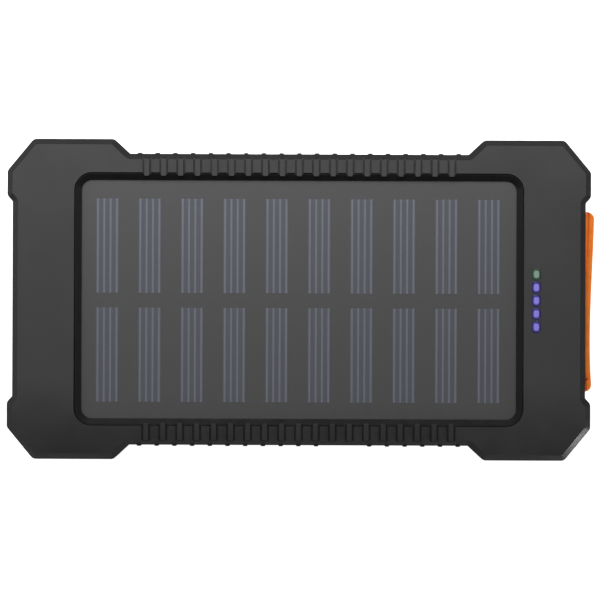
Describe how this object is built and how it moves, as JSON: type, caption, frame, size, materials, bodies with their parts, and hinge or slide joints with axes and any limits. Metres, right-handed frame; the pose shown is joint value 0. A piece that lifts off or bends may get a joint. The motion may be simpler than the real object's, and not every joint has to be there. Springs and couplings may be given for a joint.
{
  "type": "solar phone charger",
  "caption": "Rugged pocket solar charger: flat bevelled case with angular corner bumpers, ribbed waist, recessed solar panel, indicator lights, side button and hinged silicone port flap.",
  "frame": {"origin": "middle of the flat back face, which the charger lies on", "axes": "+Z out of the solar face, +X towards the end with the charging ports, +Y towards the long side without the power button"},
  "size_m": [0.1429, 0.0778, 0.0155],
  "materials": {
    "casing_black": "fine moulded texture",
    "bezel_black": "polished",
    "panel_film": "frosted clear film",
    "solar_silicon": "blue-grey, satin",
    "panel_backplane": "satin",
    "adhesive_tape": "matte",
    "battery_foil": "satin laminated foil",
    "foam": "matte",
    "circuit_board": "solder mask",
    "port_steel": "bright",
    "port_core": "moulded",
    "contact_gold": "plated",
    "chip_black": "matte",
    "ferrite": "matte",
    "capacitor_body": "matte",
    "led_body": "satin",
    "light_green": "lit clear plastic",
    "light_blue": "lit clear plastic",
    "silicone_orange": "satin silicone",
    "button_black": "fine moulded texture",
    "switch_grey": "moulded",
    "torch_lens_clear": "clear",
    "reflector_silver": "metallised",
    "screw_steel": "blackened",
    "lead_red": "insulation",
    "lead_black": "insulation"
  },
  "bodies": {
    "casing": {"front_shell": "casing_black", "rear_shell": "casing_black", "panel_bezel": "bezel_black", "solar_film": "panel_film", "solar_cells": "solar_silicon", "solar_backplane": "panel_backplane", "panel_tape": "adhesive_tape", "charge_light_pipe": "light_green", "level_light_pipes": "light_blue", "indicator_leds": "led_body", "indicator_board": "circuit_board", "lower_battery_cell": "battery_foil", "upper_battery_cell": "battery_foil", "battery_foam_pads": "foam", "battery_protection_board": "circuit_board", "main_board": "circuit_board", "board_screws": "screw_steel", "power_inductor": "ferrite", "power_chips": "chip_black", "board_capacitors": "capacitor_body", "usb_port_1_shell": "port_steel", "usb_port_2_shell": "port_steel", "usb_port_1_core": "port_core", "usb_port_2_core": "port_core", "usb_contacts": "contact_gold", "micro_usb_shell": "port_steel", "micro_usb_core": "chip_black", "flap_anchor": "silicone_orange", "tact_switch_body": "switch_grey", "torch_lens": "torch_lens_clear", "torch_leds": "led_body", "torch_reflector": "reflector_silver", "case_screws": "screw_steel", "battery_lead_red": "lead_red", "battery_lead_black": "lead_black", "solar_lead_red": "lead_red", "solar_lead_black": "lead_black"},
    "flap": {"port_flap": "silicone_orange"},
    "button": {"power_button": "button_black", "switch_plunger": "switch_grey"}
  },
  "joints": [
    {"name": "flap_hinge", "type": "hinge", "parent": "casing", "child": "flap", "pos_m": [0.07165, -0.019, 0.00775], "axis": [0, 0, -1], "range_deg": [0, 120], "stiffness_Nm_per_rad": 0.002},
    {"name": "button_press", "type": "slide", "parent": "casing", "child": "button", "axis": [0, 1, 0], "range_m": [0, 0.0005], "stiffness_N_per_m": 3500}
  ]
}
